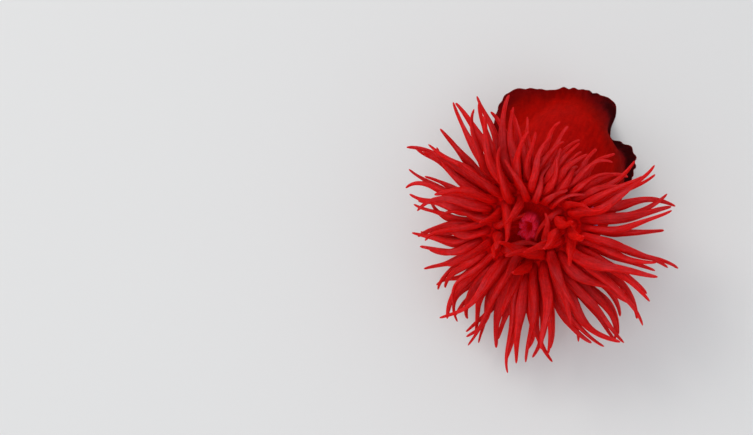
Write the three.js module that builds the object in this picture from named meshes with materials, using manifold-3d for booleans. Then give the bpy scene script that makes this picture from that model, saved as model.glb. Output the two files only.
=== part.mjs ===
// Beadlet anemone (Actinia equina), open, life size: a leaning column on a broad pedal disc,
// a ring of blue beads under the margin, and a crown of 144 tentacles round the mouth.
// Millimetres, +Z up. The origin is on the floor under the middle of the pedal disc.
import * as THREE from "three";
import { mergeVertices } from "three/addons/utils/BufferGeometryUtils.js";
import Module from "manifold-3d";

// ---------- driving dimensions ----------
// Lengths are in millimetres and angles in degrees. Heights and angles of the crown are measured in the
// disc's own frame: `h` along its axis, `rho` out from it, and `phi` round it.
const GAP = 0.3; // clear space between neighbouring pieces
const TURN = 2 * Math.PI;

const FOOT = { halfX: 16.4, halfY: 19.4, rim: 1.4, sides: 32 }; // pedal disc: half widths and rim height
const DISC = { x: -9, y: -18.6, z: 22, tilt: 30, toward: 245 }; // oral disc: centre, lean, and where to

// The column, from the floor to `head`, its height in the disc's frame.
const COLUMN = {
  low: 14.6, // radius above the foot
  top: 14.2, // radius under the collar
  belly: 0.9, // how far it swells half-way up
  oval: 1.6, // how much longer than wide it starts
  head: -7,
  flareUpTo: 0.45, // share of the height over which it spreads into the foot
  flarePower: 1.7,
  bow: 0.16, // how far its middle line bows back, as a share of its lean
};
// The collar under the margin bulges, then turns in to a groove that the beads stand on.
const COLLAR = { bulge: 15.0, bulgeAt: -5.2, lip: 14.7, lipAt: -4.2, fosse: 13.2, top: -3.2 };
const BEADS = { count: 24, radius: 0.8, ring: 14.2, height: -3.3 };
// The elliptic roll round the disc that bears the tentacles.
const ROLL = { mid: 9.1, drop: -2.4, wide: 4.9, high: 3.8, inner: 126 };
// How far the margin is out of round, and how it rises and falls.
const LOBES = { twoWide: 0.05, twoTurn: -20, threeWide: 0.03, threeTurn: -40 };
const WAVES = { three: 0.55, threeTurn: 50, five: 0.35, fiveTurn: 10 };
// The sunken disc between the roll and the lips.
const MOAT = { ring: 4.9, floor: -1.7, inner: -1.4, sides: 16 };
const MOUTH = {
  lip: 2.6, // radius of the lips
  crest: 0.74, // radius of their highest line, as a share of that
  throat: 1.1, // radius of the slit
  deep: 0.5, // radius of the bottom of the slit, as a share of that
  long: 0.24, // how much longer than wide the mouth is
  shoulder: 0.2,
  rise: 2.6,
  edge: 1.0,
  pit: -1.6,
  sides: 12,
};

// Four rows of tentacles, from the mouth outwards. A row sits at the angle `on` of the roll, is turned
// against the row inside it, and leans from `rise` at the root to `lie` along its length, both measured
// from the axis of the disc, with `mixed` degrees either way from one to the next. `root` and `belly`
// are radii.
const ROWS = [
  {
    ...{ count: 24, on: 108, turn: 0, root: 0.84, belly: 1.1 },
    ...{ length: 18, rise: -16, lie: 40, mixed: 70 },
  },
  {
    ...{ count: 24, on: 82, turn: 7.5, root: 0.84, belly: 1.12 },
    ...{ length: 21, rise: 12, lie: 74, mixed: 60 },
  },
  {
    ...{ count: 48, on: 55, turn: 3.75, root: 0.66, belly: 1.08 },
    ...{ length: 21, rise: 46, lie: 92, mixed: 11 },
  },
  {
    ...{ count: 48, on: 28, turn: 7.5, root: 0.66, belly: 0.98 },
    ...{ length: 18.5, rise: 70, lie: 98, mixed: 7 },
  },
];
// The crown is cut into equal sectors, each with an inner and an outer block. A block bears two rows. It
// reaches over the roll `from` one angle `to` another, and its sides step aside between its rows.
const SECTORS = 24;
const BLOCKS = [
  { ring: "inner", rows: [0, 1], steps: [0, 7.5], from: 126, to: 70.1 },
  { ring: "outer", rows: [2, 3], steps: [15, 18.75], from: 66.9, to: 4 },
];
const TENTACLE = {
  steps: 13,
  sections: [2, 5, 9, 13], // the steps at which its solid has a section
  sides: 5,
  stout: 1.08, // a five-sided tube is drawn this much wider, to hold what the round one would
  bellyAt: 0.36, // share of the length at which it is thickest
  taper: 1.3, // power of the taper beyond that
  tip: 0.25, // radius of the tip
  bendBy: 0.62, // share of the length in which it bends over
  curlFrom: 0.6, // share of the length from which its end curls up or down
  swayWaves: 1.1, // side-to-side waves along it
  swayGrows: 3, // the sway is full at one over this share of the length
};
// How much single tentacles differ, either way: shares of the length and radius, and angles.
const VARY = { length: 0.15, radius: 0.14, rise: 18, twist: 52, curl: 46, sway: 18 };
// How far neighbours lean together, in waves round the crown.
const CLUMPS = { twist: 16, twistWaves: 5, twistFrom: 40, lie: 8, lieWaves: 7 };
// Sides of the crown where the tentacles are shorter or longer, stouter or finer, hang more or less, and
// lean aside.
const SIDES = [
  // over the column: short, fine, bent back and all leaning one way
  { toward: 60, half: 58, longer: -0.46, stouter: -0.34, droop: 30, lean: -34 },
  // narrow side: short
  { toward: 190, half: 75, longer: -0.24, stouter: -0.14, droop: 10, lean: 0 },
  // low side: long, and flatter
  { toward: 290, half: 80, longer: 0.03, stouter: 0.04, droop: -8, lean: 0 },
];
// Innermost tentacles that lean in over the disc, and how far each turns aside.
const FOLDED = new Map([
  [12, 29],
  [15, -30],
  [2, 30],
  [22, -55],
]);
const FOLD = { shorter: 0.7, from: -26, to: -84 };

// How the tentacles push one another apart.
const SETTLE = {
  rounds: 340,
  clear: 0.6, // space kept between two tentacles
  offBody: 0.15, // space kept from the body
  floor: 1.2, // space kept from the floor
  home: 0.02, // pull of each point towards its planted place
  homeFades: 1.4, // the pull is gone at one over this share of the rounds
  smooth: 0.3,
  relist: 10, // rounds between two searches for near pairs
  reach: 2.6, // a pair is near within this many times a step with its clearance
  margin: 1.6,
  free: 2, // points from the root that the body doesn't push
};

// ---------- small mathematics ----------
const rad = THREE.MathUtils.degToRad;
const vec = (x, y, z) => new THREE.Vector3(x, y, z);
const mix = (a, b, t) => a + (b - a) * t;
const clamp = (t) => Math.min(1, Math.max(0, t));
const smooth = (t) => clamp(t) ** 2 * (3 - 2 * clamp(t));

// A fixed random number from 0 to 1 for each pair of whole numbers, by the usual sine hash.
const chance = (i, k) => {
  const x = Math.sin(i * 12.9898 + k * 78.233) * 43758.5453;
  return x - Math.floor(x);
};
const swing = (i, k) => 2 * chance(i, k) - 1;

// How strongly a compass direction faces `toward`: 1 when it does, 0 when `half` degrees away or more.
const facing = (phi, toward, half) => {
  const away = Math.abs(((((phi - toward) % 360) + 540) % 360) - 180);
  return smooth(1 - away / half);
};

// ---------- the disc's own frame ----------
const lean = rad(DISC.toward);
const tilt = rad(DISC.tilt);
const axis = vec(Math.sin(tilt) * Math.cos(lean), Math.sin(tilt) * Math.sin(lean), Math.cos(tilt));
const across = vec(1, 0, 0).addScaledVector(axis, -axis.x).normalize();
const along = axis.clone().cross(across);
const centre = vec(DISC.x, DISC.y, DISC.z);

const ZONE_FLOOR = COLLAR.top + GAP; // underside of the disc and of the tentacle blocks: level and round
const fade = (h) => smooth((h - ZONE_FLOOR) / -ZONE_FLOOR); // lobes and waves grow from there up to h = 0
const lobe = (phi) =>
  1 +
  LOBES.twoWide * Math.cos(2 * phi + rad(LOBES.twoTurn)) +
  LOBES.threeWide * Math.cos(3 * phi + rad(LOBES.threeTurn));
const wave = (phi) =>
  WAVES.three * Math.cos(3 * phi + rad(WAVES.threeTurn)) +
  WAVES.five * Math.cos(5 * phi + rad(WAVES.fiveTurn));

// The point of the disc at radius `rho`, height `h` and direction `phi` (radians), with lobes and waves.
function discPoint(rho, h, phi) {
  const share = fade(h) * smooth(rho / ROLL.mid);
  const r = rho * mix(1, lobe(phi), share);
  return centre
    .clone()
    .addScaledVector(across, r * Math.cos(phi))
    .addScaledVector(along, r * Math.sin(phi))
    .addScaledVector(axis, h + wave(phi) * share);
}

// Radius and height on the roll, at an angle (degrees) from its outer edge.
const onRoll = (angle) => ({
  rho: ROLL.mid + ROLL.wide * Math.cos(rad(angle)),
  h: ROLL.drop + ROLL.high * Math.sin(rad(angle)),
});

// ---------- tentacles: where each starts and the way it leans ----------
function plantTentacles() {
  const planted = [];
  ROWS.forEach((row, rowIndex) => {
    for (let i = 0; i < row.count; i++) {
      const id = rowIndex * 100 + i;
      const phi = (360 / row.count) * i + row.turn;
      const folded = rowIndex === 0 && FOLDED.has(i);
      let length = row.length * (1 + VARY.length * swing(id, 1)) * (folded ? FOLD.shorter : 1);
      let lie = row.lie + CLUMPS.lie * Math.sin(rad(CLUMPS.lieWaves * phi)) + row.mixed * swing(id, 3);
      let radius = 1 + VARY.radius * swing(id, 6);
      const bunched = rad(CLUMPS.twistWaves * phi + CLUMPS.twistFrom);
      let twist = CLUMPS.twist * Math.sin(bunched) + VARY.twist * swing(id, 4);
      for (const side of SIDES) {
        const share = facing(phi, side.toward, side.half);
        length *= 1 + side.longer * share;
        radius *= 1 + side.stouter * share;
        lie += side.droop * share;
        twist += side.lean * share;
      }
      planted.push({
        row: rowIndex,
        phi: rad(phi),
        length,
        from: rad(folded ? FOLD.from : row.rise + VARY.rise * swing(id, 2)),
        to: rad(folded ? FOLD.to : lie),
        turn: rad(folded ? FOLDED.get(i) : 0),
        twist: rad(twist),
        curl: rad(VARY.curl * swing(id, 5)),
        radius,
        sway: rad(VARY.sway * swing(id, 7)),
        phase: chance(id, 8),
      });
    }
  });
  return planted;
}

// The direction of growth at share `u` of the length: up and over at first, then nearly straight.
function heading(t, u) {
  const bent = 1 - (1 - clamp(u / TENTACLE.bendBy)) ** 2;
  const angle = mix(t.from, t.to, bent) + t.curl * Math.max(0, u - TENTACLE.curlFrom);
  const wave = Math.sin(TURN * (TENTACLE.swayWaves * u + t.phase));
  const phi = t.phi + t.turn + t.twist * u * u + t.sway * wave * clamp(TENTACLE.swayGrows * u);
  return axis
    .clone()
    .multiplyScalar(Math.cos(angle))
    .addScaledVector(across, Math.sin(angle) * Math.cos(phi))
    .addScaledVector(along, Math.sin(angle) * Math.sin(phi));
}

// The radius at share `u` of the length.
function thickness(t, u) {
  const { root, belly } = ROWS[t.row];
  const widest = belly * t.radius;
  if (u < TENTACLE.bellyAt) return mix(root, widest, Math.sin((Math.PI / 2) * (u / TENTACLE.bellyAt)));
  const rest = (u - TENTACLE.bellyAt) / (1 - TENTACLE.bellyAt);
  return mix(widest, TENTACLE.tip, rest ** TENTACLE.taper);
}

function grow(t) {
  const { rho, h } = onRoll(ROWS[t.row].on);
  const points = [discPoint(rho, h, t.phi)];
  const step = t.length / TENTACLE.steps;
  for (let k = 0; k < TENTACLE.steps; k++)
    points.push(points[k].clone().addScaledVector(heading(t, (k + 0.5) / TENTACLE.steps), step));
  return points;
}

// ---------- tentacles: pushed apart until none touches another, the body or the floor ----------
const TINY = 1e-9;

// The nearest points of the straight pieces p1 to q1 and p2 to q2, as shares along each.
function nearest(p1, q1, p2, q2) {
  const d1 = q1.clone().sub(p1);
  const d2 = q2.clone().sub(p2);
  const r = p1.clone().sub(p2);
  const a = d1.dot(d1);
  const e = d2.dot(d2);
  const f = d2.dot(r);
  const c = d1.dot(r);
  const b = d1.dot(d2);
  const spread = a * e - b * b; // nought where the two are parallel
  const guess = spread > TINY ? clamp((b * f - c * e) / spread) : 0.5;
  const t = clamp((b * guess + f) / e);
  return [clamp((b * t - c) / a), t];
}

// Pushes a point out of the roll, the collar and the column, by the disc's own radius and height.
function offBody(p, clear) {
  const d = p.clone().sub(centre);
  const phi = Math.atan2(d.dot(along), d.dot(across));
  const flat = Math.hypot(d.dot(along), d.dot(across));
  const share = fade(d.dot(axis)) * smooth(flat / ROLL.mid);
  const rho = flat / mix(1, lobe(phi), share);
  const h = d.dot(axis) - wave(phi) * share;
  const innerEdge = onRoll(ROLL.inner).rho;
  let outward = 0;
  let upward = 0;
  if (h <= ROLL.drop) outward = Math.max(0, COLLAR.bulge + clear - rho);
  else if (rho <= innerEdge) upward = Math.max(0, clear + MOUTH.rise - h);
  else {
    const u = (rho - ROLL.mid) / ROLL.wide;
    const v = (h - ROLL.drop) / ROLL.high;
    const q = Math.hypot(u, v);
    const need = Math.max(0, 1 + clear / ROLL.high - q);
    outward = ((need * u) / q) * ROLL.wide;
    upward = ((need * v) / q) * ROLL.high;
  }
  return p
    .clone()
    .addScaledVector(across, outward * Math.cos(phi))
    .addScaledVector(along, outward * Math.sin(phi))
    .addScaledVector(axis, upward);
}

// Pairs of steps, each of a different tentacle, that are near enough to touch soon.
function nearPairs(chains) {
  const pairs = [];
  for (let i = 0; i < chains.length; i++)
    for (let j = i + 1; j < chains.length; j++)
      for (let a = 0; a < TENTACLE.steps; a++)
        for (let b = 0; b < TENTACLE.steps; b++) {
          const step = chains[i][a].distanceTo(chains[i][a + 1]);
          const reach = SETTLE.reach * (step + SETTLE.margin);
          if (chains[i][a].distanceTo(chains[j][b]) < reach) pairs.push([i, a, j, b]);
        }
  return pairs;
}

// What each point is pushed by its neighbours: the sum of the pushes, and the sum of their weights.
function pushes(chains, radii, pairs) {
  const push = chains.map((points) => points.map(() => ({ by: vec(0, 0, 0), weight: 0 })));
  for (const [i, a, j, b] of pairs) {
    const [s, t] = nearest(chains[i][a], chains[i][a + 1], chains[j][b], chains[j][b + 1]);
    const here = chains[i][a].clone().lerp(chains[i][a + 1], s);
    const there = chains[j][b].clone().lerp(chains[j][b + 1], t);
    const between = here.sub(there);
    const apart = between.length();
    const need = mix(radii[i][a], radii[i][a + 1], s) + mix(radii[j][b], radii[j][b + 1], t) + SETTLE.clear;
    if (apart >= need || apart < TINY) continue;
    const by = between.multiplyScalar((0.5 * (need - apart)) / apart);
    const shares = [
      [i, a, 1 - s, 1],
      [i, a + 1, s, 1],
      [j, b, 1 - t, -1],
      [j, b + 1, t, -1],
    ];
    for (const [m, k, weight, sign] of shares) {
      push[m][k].by.addScaledVector(by, sign * weight);
      push[m][k].weight += weight;
    }
  }
  return push;
}

// One tentacle moved by its pushes, kept off the body and the floor, smoothed, and kept at its length.
function moveChain(points, home, radii, push, pull) {
  const moved = points.map((p, k) => {
    const q = p.clone().addScaledVector(push[k].by, 1 / Math.max(1, push[k].weight));
    q.lerp(home[k], pull);
    const off = k < SETTLE.free ? q : offBody(q, radii[k] + SETTLE.offBody);
    off.z = Math.max(off.z, radii[k] + SETTLE.floor);
    return off;
  });
  const shift = moved.map((p, k) => p.clone().sub(home[k]));
  for (let k = 1; k < TENTACLE.steps; k++) {
    const middle = shift[k - 1].clone().add(shift[k + 1]).multiplyScalar(0.5);
    moved[k].addScaledVector(middle.sub(shift[k]), SETTLE.smooth);
  }
  const step = home[0].distanceTo(home[1]);
  for (let k = 1; k < points.length; k++) {
    const way = moved[k].clone().sub(points[k - 1]).normalize();
    points[k].copy(points[k - 1]).addScaledVector(way, step);
  }
}

function settle(planted) {
  const homes = planted.map(grow);
  const chains = homes.map((points) => points.map((p) => p.clone()));
  const radii = planted.map((t) => homes[0].map((_, k) => thickness(t, k / TENTACLE.steps)));
  let pairs = [];
  for (let round = 0; round < SETTLE.rounds; round++) {
    if (round % SETTLE.relist === 0) pairs = nearPairs(chains);
    const pull = SETTLE.home * Math.max(0, 1 - (SETTLE.homeFades * round) / SETTLE.rounds);
    const push = pushes(chains, radii, pairs);
    chains.forEach((points, m) => moveChain(points, homes[m], radii[m], push[m], pull));
  }
  return planted.map((t, m) => ({ ...t, points: chains[m], radii: radii[m] }));
}

// ---------- closed solids ----------
const wasm = await Module();
wasm.setup();

function geometryFrom(points, index) {
  const geometry = new THREE.BufferGeometry();
  const position = points.flatMap((p) => [p.x, p.y, p.z]);
  geometry.setAttribute("position", new THREE.Float32BufferAttribute(position, 3));
  geometry.setIndex(index);
  return geometry;
}

// The faces between two rings of n points, given the number of each ring's first point.
function wall(lower, upper, n) {
  const faces = [];
  for (let k = 0; k < n; k++) {
    const next = (k + 1) % n;
    faces.push(lower + k, lower + next, upper + next, lower + k, upper + next, upper + k);
  }
  return faces;
}

// A closed solid from rings of equal size, the first and last closed by flat fans.
function ringSolid(rings) {
  const n = rings[0].length;
  const last = (rings.length - 1) * n;
  const index = [];
  for (let r = 0; r + 1 < rings.length; r++) index.push(...wall(r * n, (r + 1) * n, n));
  for (let k = 1; k + 1 < n; k++) {
    index.push(0, k + 1, k);
    index.push(last, last + k, last + k + 1);
  }
  return geometryFrom(rings.flat(), index);
}

// A closed solid with a hole through it: the last ring joins the first.
function hoopSolid(rings) {
  const n = rings[0].length;
  const index = rings.flatMap((_, r) => wall(r * n, ((r + 1) % rings.length) * n, n));
  return geometryFrom(rings.flat(), index);
}

function solid(geometry) {
  const bare = geometry.clone();
  bare.deleteAttribute("normal");
  bare.deleteAttribute("uv");
  const merged = mergeVertices(bare);
  const mesh = new wasm.Mesh({
    numProp: 3,
    vertProperties: new Float32Array(merged.attributes.position.array),
    triVerts: new Uint32Array(merged.index.array),
  });
  return new wasm.Manifold(mesh);
}

function geometryOf(manifold) {
  const mesh = manifold.getMesh();
  const geometry = new THREE.BufferGeometry();
  geometry.setAttribute("position", new THREE.BufferAttribute(mesh.vertProperties, 3));
  geometry.setIndex(new THREE.BufferAttribute(mesh.triVerts, 1));
  return geometry;
}

// ---------- materials ----------
const flesh = (color, roughness) => new THREE.MeshStandardMaterial({ color, roughness, metalness: 0 });
const COLOURS = {
  foot: flesh(0x4a0a10, 0.4),
  column: flesh(0x960b08, 0.3),
  collar: flesh(0xa01012, 0.3),
  disc: flesh(0xa8141c, 0.35),
  lips: flesh(0xc22a55, 0.3),
  tentacle: flesh(0xc01a1e, 0.3),
};

const anemone = new THREE.Group();
function add(name, geometry, material) {
  const mesh = new THREE.Mesh(geometry, material);
  mesh.name = name;
  anemone.add(mesh);
}

// ---------- column and foot ----------
// The column is a stack of rings whose planes turn from the floor to the tilt of the disc.
const columnTop = centre.clone().addScaledVector(axis, COLUMN.head);
// The foot grips an uneven rock, so its edge is out of round: a few broad lobes and fine scallops. Each
// wave has its depth, how many there are round the foot and where it starts.
const SCALLOPS = [
  [0.13, 1, -2.1],
  [0.065, 2, 1.9],
  [0.04, 3, -1.05],
  [0.037, 4, 2.95],
  [0.057, 5, 0.4],
  [0.012, 9, 0],
  [0.008, 14, 2],
];
// Stones press bays into it, and it reaches out between them. Each is centred on a direction in degrees,
// spreads by `half` to either side and moves the edge out by a share of its radius.
const BAYS = [
  { toward: 11, half: 19, out: 0.095 },
  { toward: 34, half: 15, out: -0.17 },
  { toward: 53, half: 16, out: 0.1 },
  { toward: 94, half: 22, out: 0.035 },
  { toward: 132, half: 14, out: 0.05 },
];
const footEdge = (phi) => {
  const degrees = THREE.MathUtils.radToDeg(phi);
  const waves = SCALLOPS.map(([deep, many, from]) => deep * Math.cos(many * phi + from));
  const bays = BAYS.map(({ toward, half, out }) => out * facing(degrees, toward, half));
  return [...waves, ...bays].reduce((sum, share) => sum + share, 1);
};

function columnRing(s, sides) {
  const up = vec(0, 0, 1).lerp(axis, smooth(s)).normalize();
  const right = vec(1, 0, 0).addScaledVector(up, -up.x).normalize();
  const forward = up.clone().cross(right);
  // The column starts more upright than it ends, so its middle line bows back from the straight one.
  const bow = COLUMN.bow * Math.sin(Math.PI * s);
  const middle = vec(columnTop.x * (s - bow), columnTop.y * (s - bow), columnTop.z * s);
  const flare = Math.max(0, 1 - s / COLUMN.flareUpTo) ** COLUMN.flarePower;
  const barrel = mix(COLUMN.low, COLUMN.top, s) + COLUMN.belly * Math.sin(Math.PI * s);
  const edge = (phi) => mix(footEdge(phi), 1, smooth(s / COLUMN.flareUpTo));
  const halfX = mix(barrel, FOOT.halfX, flare);
  const halfY = mix(barrel + COLUMN.oval * (1 - smooth(s)), FOOT.halfY, flare);
  return Array.from({ length: sides }, (_, k) => {
    const phi = (TURN * k) / sides;
    return middle
      .clone()
      .addScaledVector(right, halfX * edge(phi) * Math.cos(phi))
      .addScaledVector(forward, halfY * edge(phi) * Math.sin(phi));
  });
}

const rimShare = FOOT.rim / columnTop.z;
const WIDER = 1.3; // the rings fan out, so the gap is wider in the middle than where they come nearest
const halfGap = (WIDER * GAP) / columnTop.z / 2;
// The lengths of the column, from the floor up: where each ends as a share of the height, and its steps.
const BANDS = [
  { name: "pedal_disc", ends: rimShare, steps: 1, material: COLOURS.foot },
  { name: "column_lower", ends: 0.38, steps: 2, material: COLOURS.column },
  { name: "column_middle", ends: 0.7, steps: 1, material: COLOURS.column },
  { name: "column_upper", ends: 1, steps: 1, material: COLOURS.column },
];
BANDS.forEach(({ name, ends, steps, material }, i) => {
  const from = i === 0 ? 0 : BANDS[i - 1].ends + halfGap;
  const to = ends - halfGap;
  const levels = Array.from({ length: steps + 1 }, (_, k) => mix(from, to, k / steps));
  add(name, ringSolid(levels.map((s) => columnRing(s, FOOT.sides))), material);
});

// ---------- collar with its beads ----------
const discRing = (rho, h, sides) =>
  Array.from({ length: sides }, (_, k) => discPoint(rho, h, (TURN * k) / sides));
const COLLAR_PROFILE = [
  [COLUMN.top, COLUMN.head],
  [COLLAR.bulge, COLLAR.bulgeAt],
  [COLLAR.lip, COLLAR.lipAt],
  [COLLAR.fosse, COLLAR.top],
];
const FINE = 0.02; // edges of the joined solid shorter than this are closed up
let collar = solid(ringSolid(COLLAR_PROFILE.map(([rho, h]) => discRing(rho, h, FOOT.sides))));
for (let i = 0; i < BEADS.count; i++) {
  const at = discPoint(BEADS.ring, BEADS.height, (TURN * i) / BEADS.count);
  const bead = new THREE.OctahedronGeometry(BEADS.radius).translate(at.x, at.y, at.z);
  collar = collar.add(solid(bead));
}
add("collar", geometryOf(collar.asOriginal().simplify(FINE)), COLOURS.collar);

// ---------- oral disc and lips ----------
// The disc is a sunken ring. The lips stand in its middle, with a slit between them.
const oval = (rho, h, sides) =>
  Array.from({ length: sides }, (_, k) => {
    const phi = (TURN * k) / sides;
    return discPoint(rho * (1 - MOUTH.long * Math.cos(2 * phi)), h, phi);
  });
const discEdge = onRoll(ROLL.inner);
const discRings = [
  oval(MOUTH.lip + GAP, ZONE_FLOOR, MOAT.sides),
  discRing(discEdge.rho - GAP, ZONE_FLOOR, MOAT.sides),
  discRing(discEdge.rho - GAP, discEdge.h - GAP, MOAT.sides),
  discRing(MOAT.ring, MOAT.floor, MOAT.sides),
  oval(MOUTH.lip + GAP, MOAT.inner, MOAT.sides),
];
add("oral_disc", hoopSolid(discRings), COLOURS.disc);

const lipRings = [
  oval(MOUTH.lip, ZONE_FLOOR, MOUTH.sides),
  oval(MOUTH.lip, MOUTH.shoulder, MOUTH.sides),
  oval(MOUTH.crest * MOUTH.lip, MOUTH.rise, MOUTH.sides),
  oval(MOUTH.throat, MOUTH.edge, MOUTH.sides),
  oval(MOUTH.deep * MOUTH.throat, MOUTH.pit, MOUTH.sides),
];
add("mouth", ringSolid(lipRings), COLOURS.lips);

// ---------- sectors of the crown: blocks of the tentacle zone, each with its tentacles ----------
const rollPoint = (angle, phi) => {
  const { rho, h } = onRoll(angle);
  return discPoint(rho, h, phi);
};
// The same place on the roll laid flat: across the roll, then along it.
const flatPoint = ({ angle, phi }) => new THREE.Vector2(-rad(angle) * ROLL.wide, phi * ROLL.mid);

// The outline of a block on the roll, counter-clockwise: out along one side and back along the other.
function outline(block, start) {
  const [first, second] = block.rows.map((r) => ROWS[r].on);
  const step = (first - second) / 3;
  const corners = [
    { angle: block.from, turn: block.steps[0] },
    { angle: first - step, turn: block.steps[0] },
    { angle: second + step, turn: block.steps[1] },
    { angle: block.to, turn: block.steps[1] },
  ];
  const side = (sign) =>
    corners.map(({ angle, turn }) => ({
      angle,
      phi: rad(start + turn + sign * halfSector) - (sign * GAP) / 2 / onRoll(angle).rho,
    }));
  return [...side(-1), ...side(1).reverse()];
}

// The root of a tentacle: a small ring lying on the roll.
function rootRing(t) {
  const angle = ROWS[t.row].on;
  const slope = rad(angle);
  const arc = Math.hypot(ROLL.wide * Math.sin(slope), ROLL.high * Math.cos(slope));
  return Array.from({ length: TENTACLE.sides }, (_, k) => {
    const around = (TURN * k) / TENTACLE.sides;
    return {
      angle: angle - THREE.MathUtils.radToDeg((t.radii[0] * Math.cos(around)) / arc),
      phi: t.phi + (t.radii[0] * Math.sin(around)) / onRoll(angle).rho,
    };
  });
}

// The rings of a tentacle beyond its root. They turn with the line and don't twist on it.
function tubeRings(t, root) {
  let sideways = root[0].clone().sub(t.points[0]).normalize();
  return TENTACLE.sections.map((k) => {
    const next = t.points[Math.min(k + 1, TENTACLE.steps)];
    const way = next.clone().sub(t.points[k - 1]).normalize();
    sideways = sideways.clone().addScaledVector(way, -sideways.dot(way)).normalize();
    const other = way.clone().cross(sideways);
    const r = (k < TENTACLE.steps ? TENTACLE.stout : 1) * t.radii[k];
    return Array.from({ length: TENTACLE.sides }, (_, j) => {
      const around = (TURN * j) / TENTACLE.sides;
      return t.points[k]
        .clone()
        .addScaledVector(sideways, r * Math.cos(around))
        .addScaledVector(other, r * Math.sin(around));
    });
  });
}

// One closed body: the top of the block with holes at the roots, a tube on each, walls and underside.
function sectorSolid(block, start, members) {
  const points = [];
  const index = [];
  const put = (list) => list.map((p) => points.push(p) - 1);
  const edge = outline(block, start);
  const roots = members.map(rootRing);
  const flat = edge.map(flatPoint);
  const holes = roots.map((ring) => ring.map(flatPoint));
  const top = put(edge.map(({ angle, phi }) => rollPoint(angle, phi)));
  const rims = roots.map((ring) => put(ring.map(({ angle, phi }) => rollPoint(angle, phi))));
  const all = [...top, ...rims.flat()];
  THREE.ShapeUtils.triangulateShape(flat, holes).forEach((face) => index.push(...face.map((i) => all[i])));

  const low = put(
    edge.map(({ angle, phi }) => discPoint(Math.min(onRoll(angle).rho, COLLAR.fosse), ZONE_FLOOR, phi)),
  );
  top.forEach((a, i) => {
    const j = (i + 1) % top.length;
    index.push(a, low[i], low[j], a, low[j], top[j]);
  });
  THREE.ShapeUtils.triangulateShape(flat, []).forEach(([a, b, c]) => index.push(low[c], low[b], low[a]));

  members.forEach((t, m) => {
    let below = rims[m];
    tubeRings(t, below.map((i) => points[i])).forEach((ring) => {
      const above = put(ring);
      below.forEach((a, i) => {
        const j = (i + 1) % below.length;
        index.push(a, below[j], above[j], a, above[j], above[i]);
      });
      below = above;
    });
    for (let k = 1; k + 1 < below.length; k++) index.push(below[0], below[k], below[k + 1]);
  });

  return geometryFrom(points, index);
}

const tentacles = settle(plantTentacles());
const halfSector = 180 / SECTORS;
for (let i = 0; i < SECTORS; i++) {
  const start = (360 / SECTORS) * i;
  for (const block of BLOCKS) {
    // The tentacles of the sector's own rows, each on its side of a full turn.
    const members = tentacles.flatMap((t) => {
      if (!block.rows.includes(t.row)) return [];
      const middle = rad(start + block.steps[block.rows.indexOf(t.row)]);
      const phi = t.phi + TURN * Math.round((middle - t.phi) / TURN);
      return Math.abs(phi - middle) < rad(halfSector) ? [{ ...t, phi }] : [];
    });
    const label = String(i + 1).padStart(2, "0");
    add(`tentacles_${block.ring}_${label}`, sectorSolid(block, start, members), COLOURS.tentacle);
  }
}

export default anemone;
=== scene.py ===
import math

import bpy
import numpy as np
from mathutils import Matrix, Vector
from mathutils.geometry import delaunay_2d_cdt


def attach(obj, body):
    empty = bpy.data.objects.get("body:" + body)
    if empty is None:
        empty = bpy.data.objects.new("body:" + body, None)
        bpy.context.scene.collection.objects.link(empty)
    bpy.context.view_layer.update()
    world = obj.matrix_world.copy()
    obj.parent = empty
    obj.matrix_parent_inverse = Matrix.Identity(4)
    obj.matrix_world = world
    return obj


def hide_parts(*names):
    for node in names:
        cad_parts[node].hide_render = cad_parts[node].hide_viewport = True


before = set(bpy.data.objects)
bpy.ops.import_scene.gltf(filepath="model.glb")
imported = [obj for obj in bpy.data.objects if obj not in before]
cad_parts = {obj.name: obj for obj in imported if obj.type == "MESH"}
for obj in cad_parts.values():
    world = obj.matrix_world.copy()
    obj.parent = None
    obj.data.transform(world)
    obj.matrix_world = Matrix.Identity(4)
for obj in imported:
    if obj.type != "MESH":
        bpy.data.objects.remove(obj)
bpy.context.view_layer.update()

# ---------- camera ----------
# The view is nearly straight down on the mouth, so the crown hides most of the column, and the bare
# column shows beyond it. The camera stands over the disc and looks past it, so the anemone is right of
# the middle of the picture.
MM = 0.001
DISC_CENTRE = np.array([-9.0, -18.6, 22.0])  # in millimetres
ELEVATION = math.radians(78)
DISTANCE = 400 * MM
TURNED_LEFT = math.radians(5.044)
NODDED_UP = math.radians(0.28)
SENSOR = 36
LENS = 83.15
NEAREST = 10 * MM
FARTHEST = 10_000 * MM

to_disc = Vector((0, math.cos(ELEVATION), -math.sin(ELEVATION)))
level_right = Vector((1, 0, 0))
stand = Vector(DISC_CENTRE * MM) - to_disc * DISTANCE
turn_left = Matrix.Rotation(TURNED_LEFT, 3, level_right.cross(to_disc))
right = turn_left @ level_right
nod_up = Matrix.Rotation(NODDED_UP, 3, right)
look = nod_up @ (turn_left @ to_disc)
above = right.cross(look)


def new_object(name, data):
    """A new object in the scene."""
    made = bpy.data.objects.new(name, data)
    bpy.context.scene.collection.objects.link(made)
    return made


camera_data = bpy.data.cameras.new("camera")
camera_data.sensor_width = SENSOR
camera_data.lens = LENS
camera_data.clip_start = NEAREST
camera_data.clip_end = FARTHEST
camera = new_object("camera", camera_data)
camera.matrix_world = Matrix.Translation(stand) @ Matrix((right, above, -look)).transposed().to_4x4()
bpy.context.scene.camera = camera

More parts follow.
